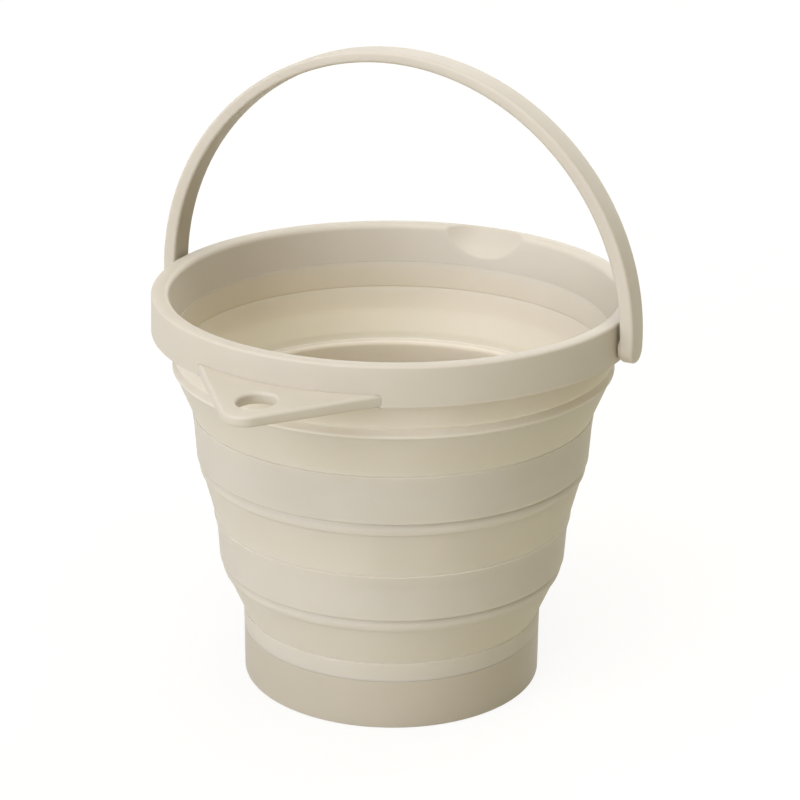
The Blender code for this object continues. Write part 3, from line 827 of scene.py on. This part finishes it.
def strap_stations():
    """Places along the strap from its right leg over the top: inner point and outer point in X and Z."""
    spring = pivot_height() + SPRING_RISE
    outer_span = strap_half_span()
    outer_rise = top_of("handle") - spring
    inner_span, inner_rise = outer_span - LEG_THICKNESS, outer_rise - TOP_THICKNESS
    stations = [(Vector((inner_span, pivot_height())), Vector((outer_span, pivot_height())))]
    for step in range(ARCH_STEPS + 1):
        angle = math.pi * step / ARCH_STEPS
        across, up = math.cos(angle), math.sin(angle)
        inner = Vector((inner_span * across, spring + inner_rise * up))
        stations.append((inner, Vector((outer_span * across, spring + outer_rise * up))))
    stations.append((Vector((-inner_span, pivot_height())), Vector((-outer_span, pivot_height()))))
    return stations


def make_strap(material):
    """Arched strap of rounded section, whose legs end in half rounds about the pivot."""
    rows = []
    for inner, outer in strap_stations():
        thickness = (outer - inner).length
        half = half_section(0, thickness)
        loop = half + [Vector((point.x, -point.y)) for point in reversed(half[1:-1])]
        along = (outer - inner).normalized()
        for point in loop:
            spot = inner + along * point.x
            rows.append((spot.x, point.y, spot.y))
    columns = len(loop)
    faces = grid_faces(len(rows) // columns, columns, False, True)
    leg_inside = strap_half_span() - LEG_THICKNESS
    half = half_section(leg_inside, LEG_THICKNESS)
    for side in (1, -1):
        first = len(rows)
        for step in range(END_STEPS + 1):
            angle = math.pi * step / END_STEPS
            for point in half:
                down = pivot_height() - point.y * math.sin(angle)
                rows.append((side * point.x, point.y * math.cos(angle), down))
        for face in grid_faces(END_STEPS + 1, len(half), False, False):
            faces.append(tuple(first + corner for corner in face))
    piece = mesh_object("handle_strap", rows, faces, material)
    place(piece, "handle", "hard_plastic", "handle")


def make_pin(name, side, material):
    """Pad and snap pin inside a leg, with a slot across its head."""
    leg_inside = strap_half_span() - LEG_THICKNESS
    head_start = rim_radius() - SKIRT_WALL - HEAD_PLAY
    head_end = head_start - HEAD_LENGTH
    corners = [
        (0, leg_inside + PAD_THICKNESS),
        (PAD_RADIUS, leg_inside + PAD_THICKNESS),
        (PAD_RADIUS, leg_inside - PAD_THICKNESS, PAD_FILLET),
        (PIN_RADIUS, leg_inside - PAD_THICKNESS, PAD_FILLET),
        (PIN_RADIUS, head_start, PAD_FILLET),
        (HEAD_RADIUS, head_start, PAD_FILLET),
        (HEAD_RADIUS, head_end, HEAD_CHAMFER),
        (0, head_end),
    ]
    pin = turned(name, outline(corners, closed=False), material, closed=False, steps=HOLE_STEPS)
    size = (2 * (HEAD_RADIUS + CUT_OVERRUN), SLOT_WIDTH, 2 * SLOT_DEPTH, 1)
    slot = simple_object("pin_slot", bmesh.ops.create_cube, size=1)
    slot.data.transform(Matrix.Translation((0, 0, head_end)) @ Matrix.Diagonal(size))
    cut_out(pin, slot)
    turn = Matrix.Rotation(side * math.pi / 2, 4, "Y")
    pin.data.transform(Matrix.Translation((0, 0, pivot_height())) @ turn)
    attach(pin, "handle")


def add_node(tree, kind, values=(), **settings):
    node = tree.nodes.new(kind)
    for name, value in settings.items():
        setattr(node, name, value)
    for name, value in dict(values).items():
        node.inputs[name].default_value = value
    return node


def noise(tree, spots, scale, detail):
    node = add_node(tree, "ShaderNodeTexNoise", {"Scale": scale, "Detail": detail})
    tree.links.new(spots, node.inputs["Vector"])
    return node.outputs["Fac"]


def ramp(tree, socket, stops):
    """Smooth ramp of grey values at the given places."""
    node = add_node(tree, "ShaderNodeValToRGB")
    node.color_ramp.interpolation = "EASE"
    elements = node.color_ramp.elements
    while len(elements) < len(stops):
        elements.new(1)
    for element, (position, value) in zip(elements, stops):
        element.position = position
        element.color = (value, value, value, 1)
    tree.links.new(socket, node.inputs["Fac"])
    return node.outputs["Color"]


def multiply(tree, first, second):
    node = add_node(tree, "ShaderNodeMix", data_type="RGBA", blend_type="MULTIPLY")
    node.inputs["Factor"].default_value = 1
    tree.links.new(first, node.inputs["A"])
    tree.links.new(second, node.inputs["B"])
    return node.outputs["Result"]


def plastic(name, colour, roughness, grain_height, scatter):
    """Greige moulded plastic: faint clouds of tone, lighter worn edges, painted shade in the creases and a
    fine grain.

    The points marked as inside are paler: painted light that stands in for the light that comes through the
    thin wall and bounces round inside the bucket.
    """
    material = bpy.data.materials.new(name)
    material.use_nodes = True
    tree = material.node_tree
    shader = tree.nodes["Principled BSDF"]
    shader.inputs["Specular IOR Level"].default_value = SHEEN
    shader.inputs["Subsurface Weight"].default_value = scatter
    shader.inputs["Subsurface Scale"].default_value = SCATTER_DEPTH
    shader.inputs["Subsurface Radius"].default_value = SCATTER_TINT
    spots = add_node(tree, "ShaderNodeTexCoord").outputs["Object"]

    clouds = noise(tree, spots, *CLOUDS)
    tone = ramp(tree, clouds, ((CLOUD_LOW, 1 - TONE_SPREAD), (CLOUD_HIGH, 1)))
    # Painted shade darkens the creases, where the surface bends inwards; the edges, where it bends
    # outwards, are a little lighter with wear
    bend = add_node(tree, "ShaderNodeNewGeometry").outputs["Pointiness"]
    flat = 1 / EDGE_LIGHTER
    worn_edges_and_crease_shade = ramp(
        tree, bend, ((CREASE_BEND, CREASE_PAINTED_SHADE), (FLAT_FROM, flat), (FLAT_TO, flat), (EDGE_BEND, 1))
    )
    base = add_node(tree, "ShaderNodeMix", data_type="RGBA", blend_type="MIX")
    base.inputs["A"].default_value = [value * DARK_CLOUD for value in colour[:3]] + [1]
    base.inputs["B"].default_value = colour
    tree.links.new(clouds, base.inputs["Factor"])
    tinted = multiply(tree, base.outputs["Result"], tone)
    # Painted light: the points marked as inside get a paler colour
    inner = add_node(tree, "ShaderNodeAttribute", attribute_name="inside")
    painted_inside_light = ramp(tree, inner.outputs["Fac"], ((0, 1 / INSIDE_PAINTED_LIGHT), (1, 1)))
    tree.links.new(multiply(tree, multiply(tree, tinted, worn_edges_and_crease_shade), painted_inside_light), shader.inputs["Base Color"])

    streaks = noise(tree, spots, *STREAKS)
    shine = add_node(
        tree, "ShaderNodeMapRange", {"To Min": roughness - ROUGH_SPREAD, "To Max": roughness + ROUGH_SPREAD}
    )
    tree.links.new(streaks, shine.inputs["Value"])
    tree.links.new(shine.outputs["Result"], shader.inputs["Roughness"])

    grain = add_node(tree, "ShaderNodeBump", {"Strength": GRAIN_STRENGTH, "Distance": grain_height})
    tree.links.new(noise(tree, spots, *GRAIN), grain.inputs["Height"])
    waves = add_node(tree, "ShaderNodeBump", {"Strength": WAVE_STRENGTH, "Distance": WAVE_HEIGHT})
    tree.links.new(noise(tree, spots, *WAVES), waves.inputs["Height"])
    tree.links.new(grain.outputs["Normal"], waves.inputs["Normal"])
    tree.links.new(waves.outputs["Normal"], shader.inputs["Normal"])
    return material


def seen_share(tree):
    """1 for rays from the camera, a gloss or something clear, and 0 for the light that falls on things."""
    path = add_node(tree, "ShaderNodeLightPath")
    total = path.outputs["Is Camera Ray"]
    for name in ("Is Glossy Ray", "Is Transmission Ray"):
        either = add_node(tree, "ShaderNodeMath", operation="MAXIMUM")
        tree.links.new(total, either.inputs[0])
        tree.links.new(path.outputs[name], either.inputs[1])
        total = either.outputs[0]
    return total


def make_floor():
    """Pale floor that keeps a faint shadow and otherwise shows white."""
    floor = simple_object("floor", bmesh.ops.create_grid, x_segments=1, y_segments=1, size=FLOOR_SIZE / 2)
    floor.location.z = -FLOOR_DROP
    material = bpy.data.materials.new("pale_floor")
    material.use_nodes = True
    tree = material.node_tree
    shader = tree.nodes["Principled BSDF"]
    shader.inputs["Base Color"].default_value = FLOOR_COLOUR
    shader.inputs["Roughness"].default_value = 1
    shader.inputs["Specular IOR Level"].default_value = 0
    glow = add_node(tree, "ShaderNodeEmission", {"Color": (1, 1, 1, 1), "Strength": FLOOR_GLOW})
    share = add_node(tree, "ShaderNodeMath", {1: FLOOR_GLOW_SHARE}, operation="MULTIPLY")
    mix = add_node(tree, "ShaderNodeMixShader")
    tree.links.new(seen_share(tree), share.inputs[0])
    tree.links.new(share.outputs[0], mix.inputs["Fac"])
    tree.links.new(shader.outputs[0], mix.inputs[1])
    tree.links.new(glow.outputs[0], mix.inputs[2])
    tree.links.new(mix.outputs[0], tree.nodes["Material Output"].inputs["Surface"])
    floor.data.materials.append(material)


def towards(azimuth, elevation):
    """Direction from the bucket to a lamp or the camera, with azimuth 0 on the tab's side."""
    flat = math.cos(elevation)
    return Vector((flat * math.sin(azimuth), -flat * math.cos(azimuth), math.sin(elevation)))


def make_light():
    """Warm world that shows white to the camera, and soft sun lamps."""
    world = bpy.data.worlds.new("studio")
    world.use_nodes = True
    bpy.context.scene.world = world
    tree = world.node_tree
    lit = tree.nodes["Background"]
    lit.inputs["Color"].default_value = WORLD_COLOUR
    lit.inputs["Strength"].default_value = WORLD_STRENGTH
    white = add_node(tree, "ShaderNodeBackground", {"Color": (1, 1, 1, 1), "Strength": 1})
    mix = add_node(tree, "ShaderNodeMixShader")
    tree.links.new(seen_share(tree), mix.inputs["Fac"])
    tree.links.new(lit.outputs[0], mix.inputs[1])
    tree.links.new(white.outputs[0], mix.inputs[2])
    tree.links.new(mix.outputs[0], tree.nodes["World Output"].inputs["Surface"])

    for name, (azimuth, elevation, strength, colour) in LAMPS.items():
        sun = bpy.data.lights.new(name, "SUN")
        sun.energy = strength
        sun.angle = LAMP_ANGLE
        sun.color = colour
        lamp = add_object(name, sun)
        lamp.rotation_mode = "QUATERNION"
        lamp.rotation_quaternion = towards(azimuth, elevation).to_track_quat("Z", "Y")


def make_camera():
    """Camera at the photograph's angle, turned about its line of sight by the photograph's tilt."""
    camera = bpy.data.cameras.new("camera")
    camera.lens = VIEW_LENS
    camera.sensor_width = SENSOR_WIDTH
    camera.shift_x = (FRAME_PIXELS / 2 - AXIS_PIXEL) / FRAME_PIXELS
    eye = add_object("camera", camera)
    back = VIEW_DISTANCE * towards(VIEW_AZIMUTH, VIEW_ELEVATION)
    eye.location = Vector((0, 0, VIEW_HEIGHT)) + back
    eye.rotation_mode = "QUATERNION"
    eye.rotation_quaternion = back.to_track_quat("Z", "Y") @ Quaternion((0, 0, 1), VIEW_ROLL)
    bpy.context.scene.camera = eye


def make_scene():
    hard = plastic("hard_plastic", HARD_COLOUR, HARD_ROUGHNESS, HARD_GRAIN_HEIGHT, HARD_SCATTER)
    soft = plastic("soft_wall", SOFT_COLOUR, SOFT_ROUGHNESS, SOFT_GRAIN_HEIGHT, SOFT_SCATTER)
    foot = plastic("base_plastic", BASE_COLOUR, HARD_ROUGHNESS, HARD_GRAIN_HEIGHT, HARD_SCATTER)
    make_base(foot)
    make_soft_wall(soft)
    make_rim(hard)
    make_strap(hard)
    make_pin("pin_right", 1, hard)
    make_pin("pin_left", -1, hard)
    make_floor()
    make_light()
    make_camera()
    bpy.context.scene.view_settings.view_transform = "Standard"


make_scene()
